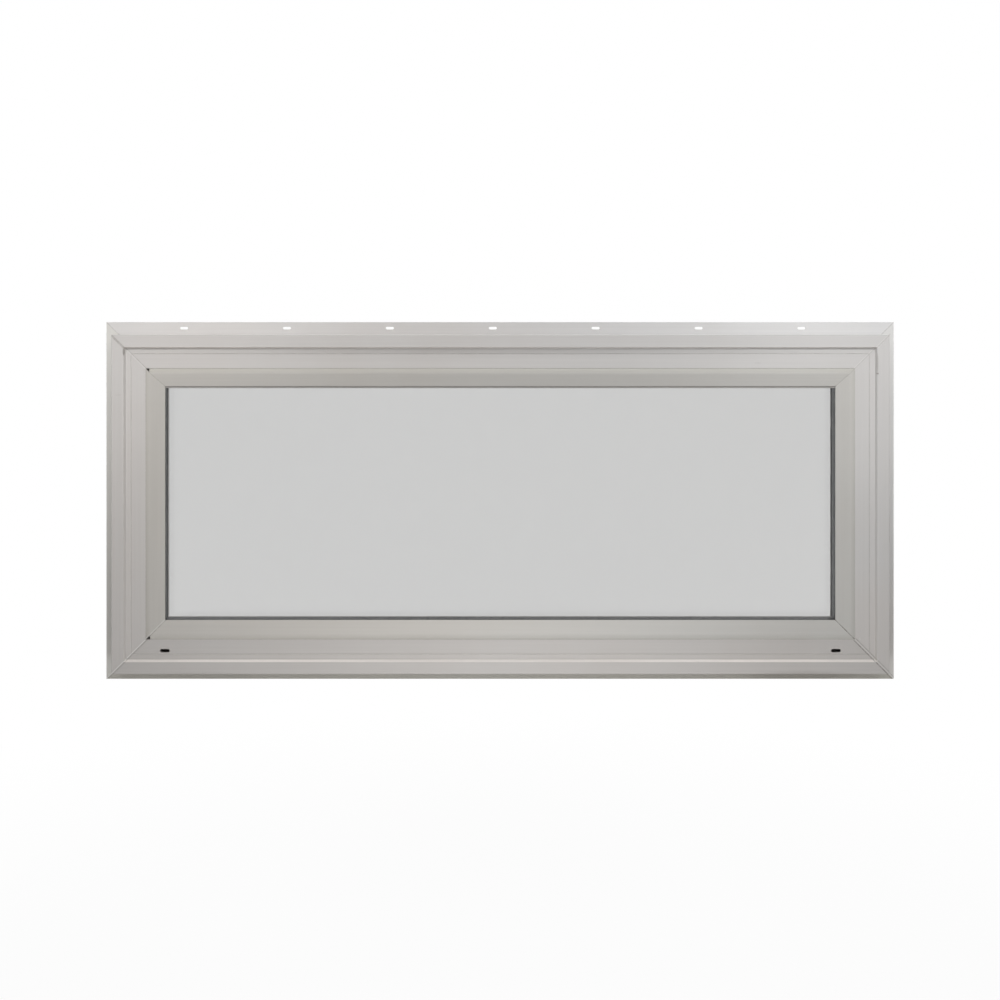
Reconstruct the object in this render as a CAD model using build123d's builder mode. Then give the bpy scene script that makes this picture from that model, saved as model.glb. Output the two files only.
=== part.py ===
from build123d import *
import math
import os

# Fixed transom window of white vinyl: a welded multi-chamber frame with a nailing fin all round,
# a raised border, snap-in glazing beads on the outdoor side and a sealed double-glazed unit.
# Millimetres, +Z up, outdoor face towards -Y. The origin is on the window's centre line, on the
# back face of the sill's nailing fin, level with the underside of the frame.

# Overall sizes of the frame, without its nailing fin
frame_width = 901.7
frame_height = 370.3
frame_depth = 82.55

# Nailing fin, whose back face lies against the wall
fin_setback = 34.9
fin_reach = 34.9
fin_thickness = 1.6
nail_slot_length = 10.0
nail_slot_width = 3.2
nail_slot_edge = 7.4
nail_slot_pitch = 127.0
nail_slot_corner = 20.0
nail_slot_shift = {"head": 9.0, "sill": -47.0, "jamb_left": 0.0, "jamb_right": 0.0}

# Walls of the extrusion
skin = 2.0
web = 1.6

# Raised border on the nose, which overhangs the frame's side to form a siding channel
nose_overhang = 20.0
nose_thickness = 12.0
nose_round = 0.8
border_width = 14.9
border_round = 0.6
step_depth = 4.5
step_run = 1.7

# Outdoor face between the border and the bead, with its V groove
face_width = 24.2
face_round = 0.25
groove_place = 3.0
groove_width = 1.2
groove_depth = 0.45

# Glazing rebate, with the notch that the bead snaps into
rebate_floor = 25.1
bead_seat_depth = 13.0
bead_notch_depth = 3.0

# Indoor side of the frame
inside_sightline = 39.5
inside_leg = 3.0
inside_slope_run = 7.7
inside_slope_depth = 12.0
inside_round = 1.2
front_web_depth = 22.0
rear_web_depth = 62.0

# Glazing bead, whose crown stands proud of the outdoor face; two beads have a tip nipped off square
bead_width = 21.9
bead_clearance = 0.05
bead_crown_place = 4.4
bead_crown_rise = 1.4
bead_round = 7.5
bead_tip = 1.5
bead_tip_round = 0.5
bead_wall = 1.4
bead_nip = {"head": 4.5, "sill": 5.5}

# Sealed unit, the room beyond each of its edges, and what holds it in the rebate
pane_thickness = 3.0
unit_gap = 19.0
unit_clearance = {"head": 7.7, "sill": 2.7, "jamb_left": 1.6, "jamb_right": 3.2}
gasket_thickness = 1.25
gasket_width = 6.0
gasket_inset = 0.3
tape_thickness = 2.0
tape_width = 9.0
tape_proud = 0.5
block_length = 100.0
block_from_end = 230.0

# Spacer tube and the sealant round it
spacer_height = 7.0
spacer_wall = 0.5
spacer_cover = 12.6
spacer_shoulder = 2.2
seal_thickness = 0.4
seal_inset = 1.2

# Weep slots through the sill's outdoor face
weep_length = 11.8
weep_height = 4.3
weep_place = 7.2
weep_from_end = 43.9

# Drain slots in the floor of the sill's rebate, which lead to the chamber behind the weep slots
drain_length = 20.0
drain_width = 3.2
drain_depth = 20.0
drain_from_end = 110.0

# Shallow grooves where the welded corners were cleaned
weld_groove_width = 3.2
weld_groove_depth = 0.4

# Places across the section, in from the frame's side
border_inner = border_width - nose_overhang
face_outer = border_inner + step_run
face_inner = face_outer + face_width
notch_floor = rebate_floor - skin
bead_outer = face_inner + bead_clearance
bead_inner = face_inner + bead_width
inside_face = inside_sightline - inside_slope_run
innermost = max(bead_inner, inside_sightline)

# Places across the sealed unit's edge, in from the edge of the glass
spacer_outer = spacer_cover - spacer_height
seal_inner = spacer_cover - seal_inset

# Places back from the front of the border
notch_depth = bead_seat_depth + bead_notch_depth
bead_back = bead_seat_depth - bead_clearance
outer_pane_front = bead_back + gasket_thickness
spacer_front = outer_pane_front + pane_thickness
inner_pane_front = spacer_front + unit_gap
unit_back = inner_pane_front + pane_thickness
unit_thickness = unit_back - outer_pane_front
leg_front = unit_back + tape_thickness
slope_front = leg_front + inside_leg
slope_back = slope_front + inside_slope_depth

# Outline of the frame and of the sealed unit, seen from the front
front = -fin_setback
frame_left, frame_right = -frame_width / 2, frame_width / 2
unit_left = frame_left + rebate_floor + unit_clearance["jamb_left"]
unit_right = frame_right - rebate_floor - unit_clearance["jamb_right"]
unit_bottom = rebate_floor + unit_clearance["sill"]
unit_top = frame_height - rebate_floor - unit_clearance["head"]


def sides_of(left, right, bottom, top):
    """Each side of an upright outline: a point on it, the way in from there, and its length."""
    middle_x, middle_z = (left + right) / 2, (bottom + top) / 2
    return {
        "head": ((middle_x, front, top), (0, 0, -1), right - left),
        "sill": ((middle_x, front, bottom), (0, 0, 1), right - left),
        "jamb_left": ((left, front, middle_z), (1, 0, 0), top - bottom),
        "jamb_right": ((right, front, middle_z), (-1, 0, 0), top - bottom),
    }


frame_sides = sides_of(frame_left, frame_right, 0, frame_height)
unit_sides = sides_of(unit_left, unit_right, unit_bottom, unit_top)


def section_plane(side):
    """A plane across one side: x runs in from the outline and y back from the front."""
    origin, inward, length = side
    return Plane(origin, x_dir=inward, z_dir=Vector(inward).cross(Vector(0, 1, 0)))


def face_plane(side, depth=0.0):
    """A plane along one side, a depth behind the front: x runs in from the outline."""
    origin, inward, length = side
    return Plane(Vector(origin) + Vector(0, depth, 0), x_dir=inward, z_dir=(0, 1, 0))


def mitred_length(side, section):
    """A section extruded along one side, with both ends cut to the mitre."""
    half = side[2] / 2
    with BuildPart() as length:
        with BuildSketch(section_plane(side)):
            add(section.sketch)
        extrude(amount=half + fin_reach, both=True)
        with BuildSketch(face_plane(side)):
            with BuildLine():
                Polyline(
                    (-fin_reach, -half - fin_reach),
                    (-fin_reach, half + fin_reach),
                    (innermost, half - innermost),
                    (innermost, innermost - half),
                    close=True,
                )
            make_face()
        extrude(amount=frame_depth, both=True, mode=Mode.INTERSECT)
    return length.part


def slot_places(length, shift):
    """Places of the nail slots along one fin, which is punched before it is cut to length."""
    reach = length / 2 + fin_reach - nail_slot_corner
    count = math.ceil(length / nail_slot_pitch)
    places = [shift + step * nail_slot_pitch for step in range(-count, count + 1)]
    return [place for place in places if abs(place) <= reach]


def weld_groove(side, outer, inner):
    """Outlines of the half grooves beside one member's two mitres, over a stretch of its front."""
    half = side[2] / 2
    share = weld_groove_width / math.sqrt(2)
    return [
        [
            (outer, end * (half - outer)),
            (inner, end * (half - inner)),
            (inner, end * (half - inner - share)),
            (outer, end * (half - outer - share)),
        ]
        for end in (-1, 1)
    ]


# Section of the frame extrusion
nose_corner = (-nose_overhang, 0)
border_corner = (border_inner, 0)
face_corner = (face_inner, step_depth)
leg_corner = (inside_sightline, leg_front)
slope_corner = (inside_sightline, slope_front)

with BuildSketch() as frame_section:
    with BuildLine():
        Polyline(
            nose_corner,
            border_corner,
            (face_outer, step_depth),
            face_corner,
            (face_inner, notch_depth),
            (notch_floor, notch_depth),
            (notch_floor, bead_seat_depth),
            (rebate_floor, bead_seat_depth),
            (rebate_floor, leg_front),
            leg_corner,
            slope_corner,
            (inside_face, slope_back),
            (inside_face, frame_depth),
            (0, frame_depth),
            (0, nose_thickness),
            (-nose_overhang, nose_thickness),
            close=True,
        )
    make_face()
    offset(amount=-skin, kind=Kind.INTERSECTION, mode=Mode.SUBTRACT)
    with Locations((0, step_depth + skin / 2)):
        Rectangle(skin, nose_thickness - step_depth - skin, align=Align.MIN)
    for web_depth, web_end in (
        (front_web_depth, notch_floor),
        (leg_front, notch_floor),
        (rear_web_depth, inside_face - skin),
    ):
        with Locations((skin / 2, web_depth)):
            Rectangle(web_end - skin / 2, web, align=Align.MIN)
    with Locations((skin / 2, fin_setback)):
        Rectangle(fin_reach + skin / 2, fin_thickness, align=Align.MAX)
    with BuildLine():
        Polyline(
            (groove_place - groove_width / 2, step_depth),
            (groove_place, step_depth + groove_depth),
            (groove_place + groove_width / 2, step_depth),
            close=True,
        )
    make_face(mode=Mode.SUBTRACT)
    for corner, radius in (
        (nose_corner, nose_round),
        (border_corner, border_round),
        (face_corner, face_round),
        (leg_corner, inside_round),
        (slope_corner, inside_round),
        ((inside_face, frame_depth), inside_round),
    ):
        fillet(frame_section.vertices().sort_by_distance(corner)[0], radius)

# Section of the glazing bead: a hollow wedge with a tongue that snaps under the rebate's lip
bead_tip_corner = (bead_inner, bead_back - bead_tip)
bead_crown = (bead_outer + bead_crown_place, step_depth - bead_crown_rise)

with BuildSketch() as bead_section:
    with BuildLine():
        Polyline(
            (bead_outer, step_depth),
            bead_crown,
            bead_tip_corner,
            (bead_inner, bead_back),
            (bead_outer, bead_back),
            close=True,
        )
    make_face()
    fillet(bead_section.vertices().sort_by_distance(bead_crown)[0], bead_round)
    offset(amount=-bead_wall, kind=Kind.INTERSECTION, mode=Mode.SUBTRACT)
    with Locations((bead_outer, bead_back - bead_wall)):
        Rectangle(
            notch_floor - bead_clearance - bead_outer,
            bead_wall + bead_notch_depth,
            align=Align.MIN,
        )
    fillet(bead_section.vertices().sort_by_distance(bead_tip_corner)[0], bead_tip_round)

# Sections of the strips that bed the sealed unit, of its spacer, and of the sealant round that
with BuildSketch() as gasket_section:
    with Locations((bead_inner - gasket_inset, bead_back)):
        Rectangle(gasket_width, gasket_thickness, align=(Align.MAX, Align.MIN))

with BuildSketch() as tape_section:
    with Locations((inside_sightline + tape_proud, unit_back)):
        Rectangle(tape_width, tape_thickness, align=(Align.MAX, Align.MIN))

with BuildSketch() as spacer_outline:
    with Locations((spacer_outer, spacer_front + seal_thickness)):
        Rectangle(spacer_height, unit_gap - 2 * seal_thickness, align=Align.MIN)
    chamfer(spacer_outline.vertices().group_by(Axis.X)[0], spacer_shoulder)

with BuildSketch() as spacer_section:
    add(spacer_outline.sketch)
    offset(amount=-spacer_wall, kind=Kind.INTERSECTION, mode=Mode.SUBTRACT)

with BuildSketch() as seal_section:
    with Locations((0, spacer_front)):
        Rectangle(seal_inner, unit_gap, align=Align.MIN)
    add(spacer_outline.sketch, mode=Mode.SUBTRACT)

os.makedirs("parts", exist_ok=True)

# Frame members, welded at the mitres
for name, side in frame_sides.items():
    slots = slot_places(side[2], nail_slot_shift[name])
    with BuildPart() as member:
        add(mitred_length(side, frame_section))
        with BuildSketch(face_plane(side, fin_setback)):
            with Locations(*[(nail_slot_edge - fin_reach, place) for place in slots]):
                SlotOverall(nail_slot_length, nail_slot_width, rotation=90)
        extrude(amount=-fin_thickness, mode=Mode.SUBTRACT)
        for depth, outer, inner in (
            (0, -nose_overhang, border_inner),
            (step_depth, face_outer, face_inner),
        ):
            with BuildSketch(face_plane(side, depth)):
                for outline in weld_groove(side, outer, inner):
                    with BuildLine():
                        Polyline(*outline, close=True)
                    make_face()
            extrude(amount=weld_groove_depth, mode=Mode.SUBTRACT)
        if name == "sill":
            with BuildSketch(face_plane(side, step_depth)):
                with Locations(
                    (weep_place, frame_left + weep_from_end),
                    (weep_place, frame_right - weep_from_end),
                ):
                    SlotOverall(weep_length, weep_height, rotation=90)
            extrude(amount=skin, mode=Mode.SUBTRACT)
            with BuildSketch(Plane.XY.offset(rebate_floor)):
                with Locations(
                    (frame_left + drain_from_end, front + drain_depth),
                    (frame_right - drain_from_end, front + drain_depth),
                ):
                    SlotOverall(drain_length, drain_width)
            extrude(amount=-skin, mode=Mode.SUBTRACT)
    member.part.label = f"frame_{name}"
    export_step(member.part, f"parts/frame_{name}.step")

# Glazing beads
for name, side in frame_sides.items():
    with BuildPart() as bead:
        add(mitred_length(side, bead_section))
        if name in bead_nip:
            nip_place = frame_left + bead_outer + bead_nip[name]
            split(bisect_by=Plane.YZ.offset(nip_place), keep=Keep.TOP)
    bead.part.label = f"glazing_bead_{name}"
    export_step(bead.part, f"parts/glazing_bead_{name}.step")

# Gaskets, tapes and spacer bars, one length of each a side
for kind, section, outline in (
    ("bead_gasket", gasket_section, frame_sides),
    ("glazing_tape", tape_section, frame_sides),
    ("spacer", spacer_section, unit_sides),
):
    for name, side in outline.items():
        with BuildPart() as strip:
            add(mitred_length(side, section))
        strip.part.label = f"{kind}_{name}"
        export_step(strip.part, f"parts/{kind}_{name}.step")

# Panes of the sealed unit
for name, depth in (("pane_outer", outer_pane_front), ("pane_inner", inner_pane_front)):
    with BuildPart() as pane:
        with Locations((unit_left, front + depth, unit_bottom)):
            Box(unit_right - unit_left, pane_thickness, unit_top - unit_bottom, align=Align.MIN)
    pane.part.label = name
    export_step(pane.part, f"parts/{name}.step")

# Sealant between the panes, which fills the edge and beds the spacer's sides
with BuildPart() as edge_seal:
    for side in unit_sides.values():
        add(mitred_length(side, seal_section))
edge_seal.part.label = "edge_seal"
export_step(edge_seal.part, "parts/edge_seal.step")

# Setting blocks that carry the unit on the sill
for name, place in (
    ("setting_block_left", frame_left + block_from_end),
    ("setting_block_right", frame_right - block_from_end),
):
    with BuildPart() as block:
        with Locations((place, front + outer_pane_front, rebate_floor)):
            Box(
                block_length,
                unit_thickness,
                unit_clearance["sill"],
                align=(Align.CENTER, Align.MIN, Align.MIN),
            )
    block.part.label = name
    export_step(block.part, f"parts/{name}.step")
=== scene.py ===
import math
import random
from collections import namedtuple

import bmesh
import bpy
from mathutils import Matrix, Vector, noise as field


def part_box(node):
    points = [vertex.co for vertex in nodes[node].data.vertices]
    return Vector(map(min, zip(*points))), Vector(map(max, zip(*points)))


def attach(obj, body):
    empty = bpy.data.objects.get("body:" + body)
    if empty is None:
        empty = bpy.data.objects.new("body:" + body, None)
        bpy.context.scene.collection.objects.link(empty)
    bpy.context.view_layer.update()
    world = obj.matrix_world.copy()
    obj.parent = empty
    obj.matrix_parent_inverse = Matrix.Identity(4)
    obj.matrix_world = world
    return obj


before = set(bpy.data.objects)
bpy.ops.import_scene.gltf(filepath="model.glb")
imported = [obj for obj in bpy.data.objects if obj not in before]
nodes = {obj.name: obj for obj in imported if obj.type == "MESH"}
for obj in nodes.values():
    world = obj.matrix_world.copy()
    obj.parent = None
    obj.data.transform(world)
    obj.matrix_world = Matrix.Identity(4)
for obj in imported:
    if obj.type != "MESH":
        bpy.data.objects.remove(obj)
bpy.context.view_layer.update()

SIDES = ("head", "sill", "jamb_left", "jamb_right")
LEVEL_SIDES = ("head", "sill")

# Corners of the frame: left or right, and bottom or top
TOP_LEFT, TOP_RIGHT, BOTTOM_LEFT, BOTTOM_RIGHT = (-1, 1), (1, 1), (-1, -1), (1, -1)

# Places read from the frame, in metres
frame_low, frame_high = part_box("frame_sill")
bead_low, bead_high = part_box("glazing_bead_sill")
tape_low, tape_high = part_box("glazing_tape_sill")
gasket_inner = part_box("bead_gasket_sill")[1].z
glass_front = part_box("pane_outer")[0].y
fin_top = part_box("frame_head")[1].z
fin_bottom = frame_low.z
front_y = frame_low.y
mid_height = (fin_bottom + fin_top) / 2

# The frame without its fins, whose underside is at z = 0
fin_reach = -fin_bottom
half_width = frame_high.x - fin_reach
half_height = mid_height

# Places across the section, counted in from the side of the frame without its fins
nose_reach = 0.0200
border_inner = -0.0051
face_outer = -0.0034
groove_place = 0.0030
weld_edge = 0.0016
bead_outer = bead_low.z
bead_tip = bead_high.z
tape_edge = tape_high.z

# Depths behind the border's front, and the place of the fin's front
face_depth = 0.0045
weld_depth = 0.0004
tape_front = tape_low.y - front_y
fin_front = -0.0016

# Edges of the parts of the section that have a tone of their own, and how far each one fades
fin_edge, fin_fade = fin_front - 0.0024, 0.0020
side_edge, side_fade = -0.0005, 0.0005
ledge_edge, ledge_fade = 0.0004 - nose_reach, 0.0008
step_start, step_start_fade = border_inner - 0.0006, 0.0006
step_end, step_end_fade = face_outer - 0.0002, 0.0004
flank_start = bead_outer - 0.0004
flank_end, flank_end_fade = bead_outer + 0.0020, 0.0050

# The tape behind the inner pane, squeezed out in swells along the right jamb
squeeze_reach = 0.0021
squeeze_depth = 0.0016
squeeze_hidden = 0.0004
squeeze_end_gap = 0.0010
squeeze_mean = 0.85
squeeze_swell = 0.35
squeeze_waves = 55.0

# The gasket's lip, which hangs below the tip of the head's bead against the glass; its grey is
# painted shade, the tone of the shaded line under the bead's tip
lip_length = 0.0026
lip_thickness = 0.00115
lip_clearance = 0.00005
lip_end_gap = 0.0001

# Camera: it faces the window squarely from above its centre, and the shift frames it
camera_distance = 1.632
camera_left = 0.0186
camera_above = 0.2474
camera_lens = 48.58
shift_x = 0.015
shift_y = -0.2

# Surroundings
floor_drop = 0.75
floor_half_size = 14.0
floor_near = 1.2
floor_far = 2.4
floor_near_white = 0.93
world_light = 0.12

# Vinyl, as a warm and a neutral shade, with the heights between which the warmth ends
FRAME_SHADES = ((0.583, 0.556, 0.534), (0.572, 0.559, 0.548))
BEAD_SHADES = ((0.583, 0.556, 0.517), (0.570, 0.557, 0.530))
FRAME_WARMTH_ENDS = (0.05, 0.14)
BEAD_WARMTH_ENDS = (-0.02, -0.01)

# The vinyl's noise, in waves to the metre; draw lines have a number along, through and across
cloud_scale = 7.0
line_scales = (5, 60, 420)
peel_scale = 1100.0
speck_scale = 260.0

# Other colours
# The dark colour is dirt with painted shade in grooves, seams and beside the mitres; the pale one
# is weld traces with painted highlight beside the mitres
DIRT_AND_SHADE_COLOR = (0.16, 0.14, 0.12)
PALE_COLOR = (0.80, 0.79, 0.77)
# The glass's grey tints are painted shade on what is seen through it
GLASS_SHADE_TINTS = ((0.761, 0.761, 0.759), (0.764, 0.764, 0.762))
SPACER_SHADES = ((0.085, 0.10, 0.096), (0.15, 0.17, 0.165))
SLIT_COLOR = (0.01, 0.01, 0.01)

# The spacer's brushed lines, and its slits: their pitch, its open share, and the row's place
brush_scales = (8, 900, 900)
slit_pitch = 0.0025
slit_share = 0.45
slit_row_depth = 0.0285
slit_row_half = 0.0006

# Painted light and shade: factors that make each side's frame, bead and spacer lighter or darker,
# then parts of the section lighter where light falls on them and darker in their shade
FRAME_PAINTED_LIGHT = {"head": 1.0, "sill": 0.94, "jamb_left": 1.0, "jamb_right": 1.0}
BEAD_PAINTED_LIGHT = {"head": 1.03, "sill": 0.90, "jamb_left": 0.86, "jamb_right": 0.90}
SPACER_PAINTED_LIGHT = {"head": 1.0, "sill": 0.5, "jamb_left": 0.8, "jamb_right": 0.65}
FIN_PAINTED_LIGHT = {
    "head": (1.26, 1.28, 1.30),
    "sill": (1.03, 1.04, 0.98),
    "jamb_left": (1.26, 1.29, 1.27),
    "jamb_right": (1.25, 1.27, 1.27),
}
LEDGE_PAINTED_SHADE = {
    "head": (0.84, 0.84, 0.84),
    "sill": (1.0, 1.0, 1.0),
    "jamb_left": (1.0, 1.0, 1.0),
    "jamb_right": (1.0, 1.0, 1.0),
}
STEP_PAINTED_HIGHLIGHT = {
    "head": (1.18, 1.15, 1.13),
    "sill": (1.25, 1.24, 1.23),
    "jamb_left": (1.04, 1.04, 1.04),
    "jamb_right": (1.04, 1.04, 1.04),
}
FLANK_PAINTED_LIGHT = {
    "head": (0.82, 0.82, 0.80),
    "sill": (1.04, 1.04, 1.03),
    "jamb_left": (1.03, 1.03, 1.02),
    "jamb_right": (1.0, 1.0, 0.99),
}

# The step's painted highlight grows further towards its two ends: the gain, and how far from the
# middle it starts and is full
STEP_END_HIGHLIGHT = {"head": 1.0, "sill": 1.36, "jamb_left": 1.0, "jamb_right": 1.0}
STEP_HIGHLIGHT_REACH = (0.05, 0.40)

# How much dirt and painted shade darken the V groove and the seam beside the bead, and how wide it
# is
GROOVE_DIRT_AND_SHADE = 0.15
SEAM_DIRT_AND_SHADE = {"head": 0.22, "sill": 0.18, "jamb_left": 0.25, "jamb_right": 0.05}
seam_place = bead_outer + 0.0001
groove_dark_half = 0.0008
seam_dark_half = 0.0007
full_dark_half = 0.0002

# Marks beside the mitres: the corner, where they start and end along the mitre, counted in from
# the frame's side, how far off it they lie, towards the head or sill, their width and strength
Mark = namedtuple("Mark", "corner start end offset width strength")
mark_end_fade = 0.0010
# Dark marks: dirt in the weld lines, with painted shade on the weld grooves' shaded edges; pale
# marks: weld traces, with painted highlight on their lit edges
FRAME_DARK_MARKS = [
    Mark(TOP_LEFT, -fin_reach, -nose_reach, 0.0, 0.0008, 0.25),
    Mark(TOP_LEFT, -nose_reach, border_inner, -0.0003, 0.0019, 0.42),
    Mark(TOP_LEFT, face_outer, bead_outer, 0.0006, 0.0006, 0.35),
    Mark(TOP_RIGHT, -fin_reach, -nose_reach, 0.0, 0.0010, 0.25),
    Mark(TOP_RIGHT, -nose_reach, bead_outer, 0.0, 0.0005, 0.30),
    Mark(BOTTOM_LEFT, -fin_reach, bead_outer, 0.0013, 0.0011, 0.30),
    Mark(BOTTOM_RIGHT, -fin_reach, border_inner, weld_edge, 0.0009, 0.75),
    Mark(BOTTOM_RIGHT, -fin_reach, border_inner, -weld_edge, 0.0007, 0.45),
    Mark(BOTTOM_RIGHT, face_outer, bead_outer, weld_edge, 0.0008, 0.80),
    Mark(BOTTOM_RIGHT, face_outer, bead_outer, -weld_edge, 0.0007, 0.55),
]
BEAD_DARK_MARKS = [
    Mark(TOP_LEFT, bead_outer, bead_tip, 0.0, 0.0005, 0.35),
    Mark(TOP_RIGHT, bead_outer, bead_tip, 0.0, 0.0005, 0.30),
    Mark(BOTTOM_LEFT, bead_outer, bead_tip, 0.0006, 0.0006, 0.45),
    Mark(BOTTOM_RIGHT, bead_outer, bead_tip, 0.0, 0.0007, 0.90),
]
PALE_MARKS = [
    Mark(TOP_LEFT, face_outer, bead_outer, -0.0007, 0.0009, 0.22),
    Mark(TOP_RIGHT, -fin_reach, bead_outer, 0.0010, 0.0009, 0.18),
    Mark(BOTTOM_LEFT, -fin_reach, bead_outer, -0.0001, 0.0009, 0.60),
    Mark(BOTTOM_LEFT, bead_outer, bead_tip, -0.0006, 0.0008, 0.35),
    Mark(BOTTOM_RIGHT, -fin_reach, bead_outer, 0.0, 0.0011, 0.22),
]

# Other dark patches: the member, the place on the front as x and z, the reach each way, the
# strength. The first on the left jamb and both on the right jamb are painted shade beside the top
# of the step, the head's and the second on the left jamb are scuffs, and the sill's darken its fin
# under the nose towards its ends
DarkPatch = namedtuple("DarkPatch", "side middle reach strength")
DARK_PATCHES = [
    DarkPatch("jamb_left", (-0.4560, 0.3700), (0.0012, 0.0055), 0.55),
    DarkPatch("jamb_left", (-0.4624, 0.3177), (0.0045, 0.0016), 0.06),
    DarkPatch("head", (0.3125, 0.3562), (0.0050, 0.0012), 0.07),
    DarkPatch("jamb_right", (0.4562, 0.3560), (0.0010, 0.0150), 0.35),
    DarkPatch("jamb_right", (0.4565, 0.3436), (0.0015, 0.0014), 0.60),
    DarkPatch("sill", (0.3700, -0.0270), (0.0850, 0.0120), 0.30),
    DarkPatch("sill", (-0.3600, -0.0270), (0.0800, 0.0120), 0.10),
]

# Crumbs of vinyl beside the mitres: the place on the front, the surface they lie on, the length
Crumb = namedtuple("Crumb", "x z surface_y length")
weld_floor = front_y + weld_depth
face_y = front_y + face_depth
CRUMBS = [
    Crumb(0.4812, 0.3906, fin_front, 0.0026),
    Crumb(0.4628, 0.3806, weld_floor, 0.0022),
    Crumb(0.4580, 0.3755, weld_floor, 0.0014),
    Crumb(0.4545, 0.3721, face_y, 0.0018),
    Crumb(0.4362, 0.0215, face_y, 0.0030),
    Crumb(0.4566, -0.0040, face_y, 0.0016),
    Crumb(0.4300, 0.0120, face_y + weld_depth, 0.0012),
    Crumb(-0.4700, -0.0190, weld_floor, 0.0014),
]
crumb_height = 0.0006
crumb_width_share = 0.6
crumb_unevenness = 0.35
crumb_sunk_share = 0.1


class Graph:
    """Short calls that add nodes to one node tree and link them."""

    def __init__(self, tree):
        self.tree = tree

    def own(self, kind):
        """The node of a kind that the tree came with."""
        return next(node for node in self.tree.nodes if node.type == kind)

    def feed(self, socket, value):
        """Links an output to a socket, or sets the socket's own value."""
        if isinstance(value, bpy.types.NodeSocket):
            self.tree.links.new(value, socket)
        elif socket.type == "RGBA":
            socket.default_value = (*value, 1)
        else:
            socket.default_value = value

    def add(self, kind, inputs=(), **settings):
        """A new node with its settings, and with outputs or values fed to its inputs."""
        node = self.tree.nodes.new(kind)
        for key, value in settings.items():
            setattr(node, key, value)
        for socket, value in dict(inputs).items():
            self.feed(node.inputs[socket], value)
        return node

    def calc(self, operation, result, *others):
        """One kind of arithmetic between outputs or numbers, from the first to the last."""
        for other in others or (0.0,):
            inputs = {0: result, 1: other}
            result = self.add("ShaderNodeMath", inputs, operation=operation).outputs[0]
        return result

    def distance(self, value, place):
        """How far a value lies from a place, either way."""
        return self.calc("ABSOLUTE", self.calc("SUBTRACT", value, place))

    def ramp(self, value, low, high, at_low, at_high):
        """A smooth change from one number to another, between two values."""
        names = ("Value", "From Min", "From Max", "To Min", "To Max")
        inputs = zip(names, (value, low, high, at_low, at_high))
        node = self.add("ShaderNodeMapRange", inputs, interpolation_type="SMOOTHSTEP")
        return node.outputs["Result"]

    def past(self, value, place, fade):
        """0 up to a place, and then rising to 1 within a stretch."""
        return self.ramp(value, place, place + fade, 0.0, 1.0)

    def until(self, value, place, fade):
        """1 up to a place, and then falling to 0 within a stretch."""
        return self.ramp(value, place, place + fade, 1.0, 0.0)

    def vector(self, operation, first, second=(0, 0, 0), output="Vector"):
        """One step of arithmetic between places."""
        inputs = {0: first, 1: second}
        return self.add("ShaderNodeVectorMath", inputs, operation=operation).outputs[output]

    def grey(self, value):
        """A grey of one value, for tinting."""
        return self.add("ShaderNodeCombineXYZ", {0: value, 1: value, 2: value}).outputs["Vector"]

    def blend(self, share, first, second, kind="MIX"):
        """Two colours blended by a share from 0 to 1."""
        inputs = {"Fac": share, "Color1": first, "Color2": second}
        return self.add("ShaderNodeMixRGB", inputs, blend_type=kind).outputs["Color"]

    def seen(self):
        """1 for what is seen, straight on, mirrored or through glass, and 0 for its light."""
        ray = self.add("ShaderNodeLightPath").outputs
        kinds = [ray[f"Is {kind} Ray"] for kind in ("Camera", "Glossy", "Transmission")]
        return self.calc("MAXIMUM", *kinds)


class Finish(Graph):
    """The node tree of a new material, with its Principled shader."""

    def __init__(self, name):
        self.material = bpy.data.materials.new(name)
        self.material.use_nodes = True
        super().__init__(self.material.node_tree)
        self.shader = self.own("BSDF_PRINCIPLED")
        self.place = self.add("ShaderNodeTexCoord").outputs["Object"]

    def axes(self):
        """A point's x, y and z, each as an output."""
        return self.add("ShaderNodeSeparateXYZ", {"Vector": self.place}).outputs

    def noise(self, scale, detail=3.0, roughness=0.5):
        """Noise at a number of waves to the metre, or with a number for each axis."""
        place = self.place
        if isinstance(scale, tuple):
            place = self.vector("MULTIPLY", place, scale)
            scale = 1.0
        inputs = {"Vector": place, "Scale": scale, "Detail": detail, "Roughness": roughness}
        return self.add("ShaderNodeTexNoise", inputs).outputs["Fac"]

    def bump(self, height, strength, distance, **under):
        """A relief in the surface, on top of another one where its Normal is given."""
        inputs = {"Height": height, "Strength": strength, "Distance": distance, **under}
        return self.add("ShaderNodeBump", inputs).outputs["Normal"]

    def shaded(self, inputs):
        """The material, once outputs or values are fed to its shader."""
        for socket, value in inputs.items():
            self.feed(self.shader.inputs[socket], value)
        return self.material


def scaled(color, factor):
    """A colour made lighter or darker by a factor."""
    return tuple(factor * channel for channel in color)


# A member of the frame, with the outputs that tell where on it a point lies: its x, y and z, and
# how far in it is from the nearer jamb's side, from the nearer of head and sill, and from the
# member's own side
Member = namedtuple("Member", "side axes from_jamb from_end inward")


def member_of(finish, side):
    """The member of one side."""
    axes = finish.axes()
    from_jamb = finish.calc("SUBTRACT", half_width, finish.calc("ABSOLUTE", axes["X"]))
    from_end = finish.calc("SUBTRACT", half_height, finish.distance(axes["Z"], half_height))
    inward = from_end if side in LEVEL_SIDES else from_jamb
    return Member(side, axes, from_jamb, from_end, inward)


def meets(side, corner):
    """Whether a member reaches to a corner of the frame."""
    across, up = corner
    ends = {"head": up > 0, "sill": up < 0, "jamb_left": across < 0, "jamb_right": across > 0}
    return ends[side]


def near_corner(finish, member, corner):
    """1 on the half of a member that reaches to a corner, and 0 on its other half."""
    across, up = corner
    if member.side in LEVEL_SIDES:
        off_middle = finish.calc("MULTIPLY", member.axes["X"], across)
    else:
        off_middle = finish.calc("SUBTRACT", member.axes["Z"], half_height)
        off_middle = finish.calc("MULTIPLY", off_middle, up)
    return finish.calc("GREATER_THAN", off_middle, 0.0)


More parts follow.
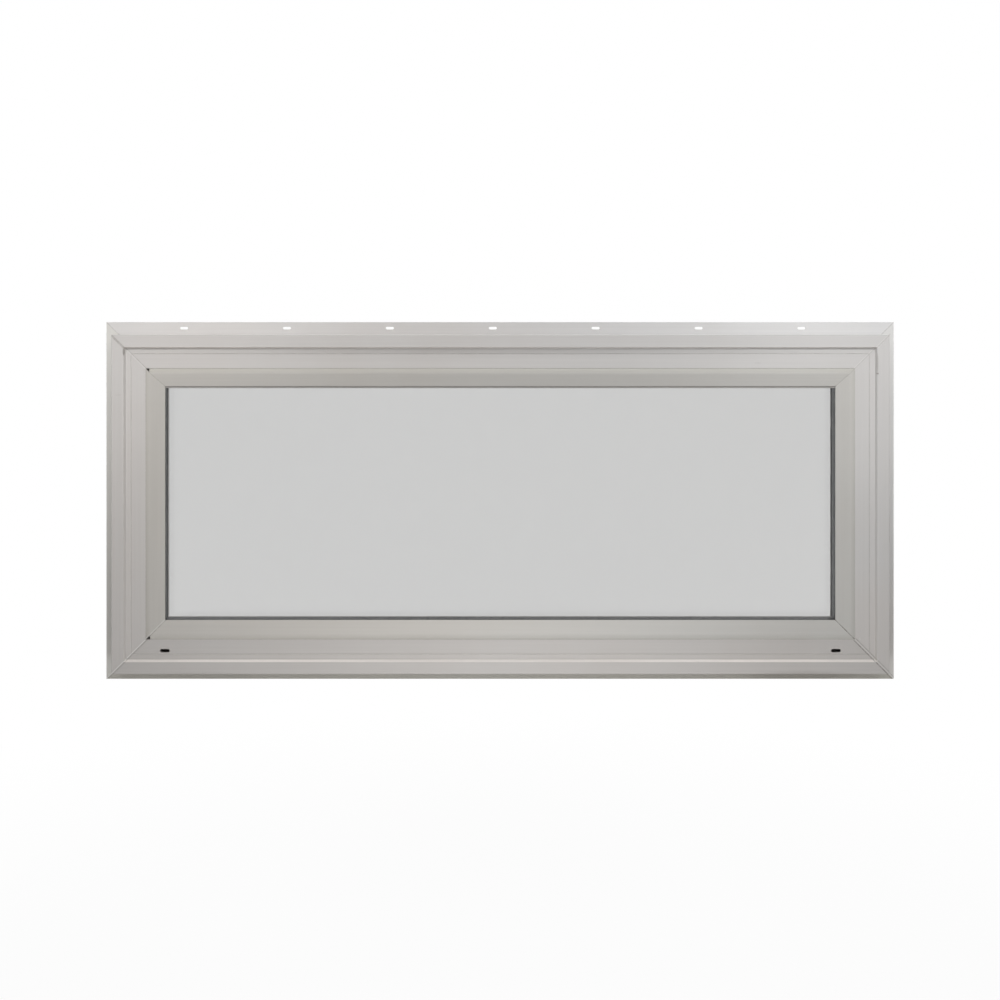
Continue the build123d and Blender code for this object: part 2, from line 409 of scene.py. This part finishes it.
def joint_marks(finish, member, marks):
    """How much of a kind of mark lies on a member, from lines beside its two mitres."""
    off_joint = finish.calc("SUBTRACT", member.from_jamb, member.from_end)
    off_joint = finish.calc("MULTIPLY", off_joint, math.sqrt(0.5))
    run = finish.calc("ADD", member.from_jamb, member.from_end)
    run = finish.calc("MULTIPLY", run, 0.5)
    total = 0.0
    for mark in marks:
        if not meets(member.side, mark.corner):
            continue
        off_line = finish.distance(off_joint, mark.offset)
        share = finish.ramp(off_line, 0.4 * mark.width, mark.width, mark.strength, 0.0)
        begun = finish.past(run, mark.start - mark_end_fade, mark_end_fade)
        not_over = finish.until(run, mark.end, mark_end_fade)
        near = near_corner(finish, member, mark.corner)
        share = finish.calc("MULTIPLY", share, begun, not_over, near)
        total = finish.calc("MAXIMUM", total, share)
    return total


def dark_patch(finish, mark):
    """A soft oval mark on the front."""
    (x, z), (reach_x, reach_z) = mark.middle, mark.reach
    offset = finish.vector("SUBTRACT", finish.place, (x, 0, z))
    oval = finish.vector("MULTIPLY", offset, (1 / reach_x, 0, 1 / reach_z))
    length = finish.vector("LENGTH", oval, output="Value")
    return finish.ramp(length, 0.5, 1.1, mark.strength, 0.0)


def vinyl_color(finish, member, shades, warmth_ends, lines, clouds):
    """Vinyl's own colour: warmer to the left and low down, with faint streaks and clouds."""
    warm, neutral = shades
    cool = finish.ramp(member.axes["X"], -half_width, half_width, 0.0, 1.0)
    cool = finish.calc("MULTIPLY", cool, finish.ramp(member.axes["Z"], *warmth_ends, 0.0, 1.0))
    cool = finish.calc("ADD", cool, finish.ramp(clouds, 0.3, 0.7, -0.25, 0.25))
    color = finish.blend(cool, warm, neutral)
    streaks = finish.ramp(lines, 0.30, 0.75, 0.98, 1.01)
    dull = finish.ramp(clouds, 0.35, 0.65, 0.97, 1.0)
    tint = finish.grey(finish.calc("MULTIPLY", streaks, dull))
    return finish.blend(1.0, color, tint, "MULTIPLY")


def painted_section_light(finish, member):
    """The parts of the section painted lighter or darker for light and shade, each as its share
    and its factor.
    """
    side, inward = member.side, member.inward
    behind = finish.past(member.axes["Y"], fin_edge, fin_fade)
    on_fin = finish.calc("MULTIPLY", behind, finish.until(inward, side_edge, side_fade))
    before = finish.calc("SUBTRACT", 1.0, behind)
    on_ledge = finish.calc("MULTIPLY", before, finish.until(inward, ledge_edge, ledge_fade))
    past_seam = finish.calc("GREATER_THAN", inward, flank_start)
    on_flank = finish.until(inward, flank_end, flank_end_fade)
    on_flank = finish.calc("MULTIPLY", on_flank, past_seam)
    on_step = finish.past(inward, step_start, step_start_fade)
    on_step = finish.calc("MULTIPLY", on_step, finish.until(inward, step_end, step_end_fade))

    off_centre = finish.calc("ABSOLUTE", member.axes["X"])
    highlight_gain = finish.ramp(off_centre, *STEP_HIGHLIGHT_REACH, 1.0, STEP_END_HIGHLIGHT[side])
    step_highlight = finish.blend(1.0, finish.grey(highlight_gain), STEP_PAINTED_HIGHLIGHT[side], "MULTIPLY")
    # Painted highlight on the fins and the step, painted shade on the head's ledge, painted light
    # and shade on the bead's flank
    return [
        (on_fin, FIN_PAINTED_LIGHT[side]),
        (on_ledge, LEDGE_PAINTED_SHADE[side]),
        (on_flank, FLANK_PAINTED_LIGHT[side]),
        (on_step, step_highlight),
    ]


def dirt_and_shade_share(finish, member, marks):
    """How much dirt and painted shade cover a point: in grooves, the seam and joints, in scattered
    specks of dirt, and in dark patches.
    """
    off_groove = finish.distance(member.inward, groove_place)
    in_groove = finish.ramp(off_groove, full_dark_half, groove_dark_half, GROOVE_DIRT_AND_SHADE, 0.0)
    off_seam = finish.distance(member.inward, seam_place)
    seam_strength = SEAM_DIRT_AND_SHADE[member.side]
    in_seam = finish.ramp(off_seam, full_dark_half, seam_dark_half, seam_strength, 0.0)
    in_joint = joint_marks(finish, member, marks)
    specks = finish.noise(speck_scale, 5.0, 0.7)
    patchy = finish.ramp(specks, 0.35, 0.60, 0.4, 1.0)
    along_lines = finish.calc("MULTIPLY", finish.calc("MAXIMUM", in_groove, in_seam, in_joint), patchy)
    pepper = finish.ramp(specks, 0.70, 0.78, 0.0, 0.35)
    patches = [dark_patch(finish, mark) for mark in DARK_PATCHES if mark.side == member.side]
    return finish.calc("MAXIMUM", along_lines, pepper, *patches)


def vinyl(name, side, shades, warmth_ends, dark_marks):
    """Satin extruded vinyl: draw lines along the member, a faint warm cast, painted light and
    shade on parts of its section, dirt and painted shade in its joints.
    """
    finish = Finish(name)
    member = member_of(finish, side)
    clouds = finish.noise(cloud_scale, 4.0)
    lines = finish.noise(line_scales if side in LEVEL_SIDES else line_scales[::-1])
    peel = finish.noise(peel_scale, 2.0)

    color = vinyl_color(finish, member, shades, warmth_ends, lines, clouds)
    for share, tone in painted_section_light(finish, member):
        color = finish.blend(share, color, tone, "MULTIPLY")
    # Dirt together with painted shade in the groove, the seam, beside the mitres and in dark
    # patches, after pale weld traces with painted highlight
    dirt_and_shade = dirt_and_shade_share(finish, member, dark_marks)
    color = finish.blend(joint_marks(finish, member, PALE_MARKS), color, PALE_COLOR)
    color = finish.blend(dirt_and_shade, color, DIRT_AND_SHADE_COLOR)

    rough = finish.ramp(lines, 0.25, 0.75, 0.34, 0.46)
    rough = finish.calc("ADD", rough, finish.calc("MULTIPLY", dirt_and_shade, 0.25))
    relief = finish.bump(lines, 0.10, 0.0003)
    relief = finish.bump(peel, 0.10, 0.0002, Normal=relief)
    inputs = {"Base Color": color, "Roughness": rough, "IOR": 1.48, "Normal": relief}
    return finish.shaded(inputs)


def plain(name, color, roughness, grain=700.0, depth=0.15):
    """A simple finish with fine mottling in its colour, roughness and surface."""
    finish = Finish(name)
    mottle = finish.noise(grain, 4.0)
    shade = finish.blend(mottle, scaled(color, 0.75), color)
    rough = finish.ramp(mottle, 0.3, 0.7, roughness - 0.07, roughness + 0.07)
    relief = finish.bump(mottle, depth, 0.0003)
    return finish.shaded({"Base Color": shade, "Roughness": rough, "Normal": relief})


def spacer_finish(name, side):
    """Grey roll-formed spacer with a row of breather slits to the desiccant, painted lighter or
    darker on each side for light and shade.
    """
    finish = Finish(name)
    axes = finish.axes()
    level = side in LEVEL_SIDES
    brushed = finish.noise(brush_scales if level else brush_scales[::-1], 4.0)
    dark, light = [scaled(shade, SPACER_PAINTED_LIGHT[side]) for shade in SPACER_SHADES]
    color = finish.blend(brushed, dark, light)

    pitches = finish.calc("MULTIPLY", axes["X"] if level else axes["Z"], 1 / slit_pitch)
    in_slit = finish.calc("LESS_THAN", finish.calc("FRACT", pitches), slit_share)
    off_row = finish.distance(axes["Y"], front_y + slit_row_depth)
    in_row = finish.calc("LESS_THAN", off_row, slit_row_half)
    color = finish.blend(finish.calc("MULTIPLY", in_slit, in_row), color, SLIT_COLOR)

    rough = finish.ramp(brushed, 0.3, 0.7, 0.35, 0.5)
    relief = finish.bump(brushed, 0.15, 0.0001)
    inputs = {"Base Color": color, "Metallic": 0.6, "Roughness": rough, "Normal": relief}
    return finish.shaded(inputs)


def glass(name):
    """Float glass, tinted grey: painted shade that dims what is seen through it."""
    finish = Finish(name)
    tint = finish.blend(finish.noise(3.0, 2.0), *GLASS_SHADE_TINTS)
    inputs = {"Base Color": tint, "Transmission Weight": 1.0, "Roughness": 0.0, "IOR": 1.5}
    return finish.shaded(inputs)


def dress(node, material):
    """Gives a node of the frame its material."""
    if not nodes[node].material_slots:
        nodes[node].data.materials.append(material)
    for slot in nodes[node].material_slots:
        slot.material = material


def dress_side(side, rubber, foam):
    """Gives the nodes of one side their materials."""
    # Each side's frame and bead colours are painted lighter or darker for light and shade
    frame_shades = [scaled(shade, FRAME_PAINTED_LIGHT[side]) for shade in FRAME_SHADES]
    bead_shades = [scaled(shade, BEAD_PAINTED_LIGHT[side]) for shade in BEAD_SHADES]
    frame_name, bead_name = f"frame_vinyl_{side}", f"bead_vinyl_{side}"
    frame_vinyl = vinyl(frame_name, side, frame_shades, FRAME_WARMTH_ENDS, FRAME_DARK_MARKS)
    bead_vinyl = vinyl(bead_name, side, bead_shades, BEAD_WARMTH_ENDS, BEAD_DARK_MARKS)
    dress(f"frame_{side}", frame_vinyl)
    dress(f"glazing_bead_{side}", bead_vinyl)
    dress(f"bead_gasket_{side}", rubber)
    dress(f"glazing_tape_{side}", foam)
    dress(f"spacer_{side}", spacer_finish(f"spacer_{side}", side))


def added(name, data):
    """A new object in the scene."""
    thing = bpy.data.objects.new(name, data)
    bpy.context.scene.collection.objects.link(thing)
    return thing


def add_piece(name, shape, material):
    """Adds a modelled piece to the window, from its built shape."""
    mesh = bpy.data.meshes.new(name)
    shape.to_mesh(mesh)
    shape.free()
    mesh.materials.append(material)
    piece = added(name, mesh)
    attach(piece, "root")


def skin_through(rings, smooth=False):
    """A closed shape through rings of points, with its sides smooth or flat."""
    shape = bmesh.new()
    rings = [[shape.verts.new(point) for point in ring] for ring in rings]
    for ring, following in zip(rings, rings[1:]):
        for point in range(len(ring)):
            after = (point + 1) % len(ring)
            corners = (ring[point], ring[after], following[after], following[point])
            shape.faces.new(corners).smooth = smooth
    shape.faces.new(list(reversed(rings[0])))
    shape.faces.new(rings[-1])
    bmesh.ops.recalc_face_normals(shape, faces=shape.faces)
    return shape


def tape_squeeze(name, material):
    """Tape squeezed out beside the right jamb, between the inner pane and the frame's leg."""
    steps, rim = 240, 7
    low = tape_edge + squeeze_end_gap
    high = 2 * half_height - low
    rings = []
    for step in range(steps + 1):
        z = low + (high - low) * step / steps
        swell = squeeze_swell * field.noise(Vector((0.0, 3.1, z * squeeze_waves)))
        reach = squeeze_reach * (squeeze_mean + swell) + squeeze_hidden
        ring = []
        for point in range(rim):
            turn = math.pi * point / (rim - 1)
            x = half_width - tape_edge + squeeze_hidden - reach * math.sin(turn)
            y = front_y + tape_front + squeeze_depth * (1 - math.cos(turn)) / 2
            ring.append((x, y, z))
        rings.append(ring)
    add_piece(name, skin_through(rings, smooth=True), material)


def gasket_lip(name, material):
    """A soft lip along the head's glass, with its lower edge rounded."""
    bends = 8
    radius = lip_thickness / 2
    back = glass_front - lip_clearance
    front = back - lip_thickness
    top = 2 * half_height - gasket_inner
    centre = top - lip_length + radius
    outline = [(back, top), (front, top)]
    for point in range(bends + 1):
        turn = math.pi * point / bends
        outline.append((front + radius * (1 - math.cos(turn)), centre - radius * math.sin(turn)))
    end = half_width - bead_tip - lip_end_gap
    rings = [[(x, y, z) for y, z in outline] for x in (-end, end)]
    add_piece(name, skin_through(rings), material)


def weld_crumbs(name, material):
    """Crumbs of vinyl that the cleaning of the welds left beside the mitres."""
    draw = random.Random(7)
    shape = bmesh.new()
    for crumb in CRUMBS:
        made = bmesh.ops.create_icosphere(shape, subdivisions=2, radius=0.5)["verts"]
        turn = draw.uniform(0, math.pi)
        for vertex in made:
            grain = field.noise(vertex.co * 3 + Vector((crumb.x, crumb.z, 0)) * 900)
            rough = 1 + crumb_unevenness * grain
            long = vertex.co.x * crumb.length * rough
            wide = vertex.co.z * crumb.length * crumb_width_share * rough
            x = crumb.x + math.cos(turn) * long - math.sin(turn) * wide
            y = crumb.surface_y + min(vertex.co.y, crumb_sunk_share) * crumb_height * rough
            z = crumb.z + math.sin(turn) * long + math.cos(turn) * wide
            vertex.co = (x, y, z)
    add_piece(name, shape, material)


def floor():
    """A plain pale floor well below the window, white to the eye away from its shadow."""
    size = floor_half_size
    z = fin_bottom - floor_drop
    mesh = bpy.data.meshes.new("floor")
    corners = [(-size, -size, z), (size, -size, z), (size, size, z), (-size, size, z)]
    mesh.from_pydata(corners, [], [(0, 1, 2, 3)])
    finish = Finish("floor_pale")
    mesh.materials.append(finish.shaded({"Base Color": (0.8, 0.8, 0.8), "Roughness": 0.9}))

    level = finish.vector("MULTIPLY", finish.place, (1, 1, 0))
    length = finish.vector("LENGTH", level, output="Value")
    white_share = finish.ramp(length, floor_near, floor_far, floor_near_white, 1.0)
    share = finish.calc("MULTIPLY", finish.seen(), white_share)
    white = finish.add("ShaderNodeEmission", {"Color": (1, 1, 1), "Strength": 1.0})
    shaders = {0: share, 1: finish.shader.outputs["BSDF"], 2: white.outputs["Emission"]}
    mix = finish.add("ShaderNodeMixShader", shaders)
    finish.feed(finish.own("OUTPUT_MATERIAL").inputs["Surface"], mix.outputs["Shader"])
    added("floor", mesh)


def surroundings():
    """A white world, whose light on the window has its own strength."""
    world = bpy.data.worlds.new("studio")
    bpy.context.scene.world = world
    world.use_nodes = True
    graph = Graph(world.node_tree)
    background = graph.own("BACKGROUND")
    strength = graph.ramp(graph.seen(), 0.0, 1.0, world_light, 1.0)
    graph.feed(background.inputs["Color"], (1, 1, 1))
    graph.feed(background.inputs["Strength"], strength)


def hang(data, name, place, aim):
    """Hangs a lamp, turned towards a point. The glass neither mirrors nor shows it."""
    lamp = added(name, data)
    lamp.location = place
    toward = Vector(aim) - Vector(place)
    lamp.rotation_euler = toward.to_track_quat("-Z", "Y").to_euler()
    lamp.visible_glossy = False
    lamp.visible_transmission = False


def soft_box(name, place, width, power):
    """A square soft lamp, aimed at the middle of the window."""
    data = bpy.data.lights.new(name, "AREA")
    data.size = width
    data.energy = power
    hang(data, name, place, (0, 0, mid_height))


def soft_spot(name, place, aim, angle, power):
    """A spot with soft edges, aimed at a point."""
    data = bpy.data.lights.new(name, "SPOT")
    data.energy = power
    data.spot_size = math.radians(angle)
    data.spot_blend = 1.0
    data.shadow_soft_size = 0.15
    hang(data, name, place, aim)


def camera():
    """The photo's view: square to the window, with the frame shifted down."""
    data = bpy.data.cameras.new("camera")
    data.lens = camera_lens
    data.shift_x = shift_x
    data.shift_y = shift_y
    data.clip_start = 0.01
    view = added("camera", data)
    view.location = (-camera_left, front_y - camera_distance, mid_height + camera_above)
    view.rotation_euler = (math.radians(90), 0, 0)
    bpy.context.scene.camera = view


rubber = plain("gasket_rubber", (0.035, 0.037, 0.038), roughness=0.6)
foam = plain("tape_foam", (0.05, 0.05, 0.05), roughness=0.8, grain=1500.0, depth=0.4)
sealant = plain("edge_sealant", (0.03, 0.03, 0.03), roughness=0.6, grain=300.0, depth=0.3)
block_rubber = plain("block_rubber", (0.04, 0.04, 0.04), roughness=0.6)
lip_painted_shade = plain("lip_painted_shade", (0.44, 0.42, 0.40), roughness=0.5)
crumb_vinyl = plain("crumb_vinyl", (0.72, 0.71, 0.69), roughness=0.5, grain=900.0)
clear_glass = glass("float_glass")

for side in SIDES:
    dress_side(side, rubber, foam)
for pane in ("pane_outer", "pane_inner"):
    dress(pane, clear_glass)
for block in ("setting_block_left", "setting_block_right"):
    dress(block, block_rubber)
dress("edge_seal", sealant)

tape_squeeze("tape_squeeze_right", foam)
gasket_lip("gasket_lip_head", lip_painted_shade)
weld_crumbs("weld_crumbs", crumb_vinyl)

floor()
surroundings()
soft_spot("spot_right", (0.6, -1.2, 1.15), aim=(0.45, 0, 0.40), angle=24, power=46)
soft_spot("spot_left", (-0.6, -1.2, 1.15), aim=(-0.45, 0, 0.40), angle=24, power=40)
soft_spot("spot_head", (0, -0.5, 1.3), aim=(0, 0, 0.42), angle=50, power=17.5)
soft_spot("spot_sill", (0, -1.2, 1.2), aim=(0, 0, -0.06), angle=26, power=22)
soft_box("lamp_front_left", (-0.47, -1.74, mid_height + 1.26), width=1.2, power=6.2)
soft_box("lamp_front_right", (0.47, -1.74, mid_height + 1.26), width=1.2, power=9.5)
soft_box("lamp_top", (0, -0.12, mid_height + 1.35), width=1.0, power=5.3)
soft_box("lamp_low", (0, -0.8, mid_height - 0.6), width=0.4, power=2.2)
soft_box("lamp_behind_left", (-1.0, 1.19, mid_height + 1.56), width=1.2, power=7.4)
soft_box("lamp_behind_right", (1.0, 1.19, mid_height + 1.56), width=1.2, power=7.4)
soft_box("lamp_back_left", (-1.7, 1.8, mid_height + 0.3), width=0.5, power=18)
soft_box("lamp_back_right", (1.7, 1.8, mid_height + 0.3), width=0.5, power=18)
camera()
bpy.context.scene.view_settings.view_transform = "Standard"
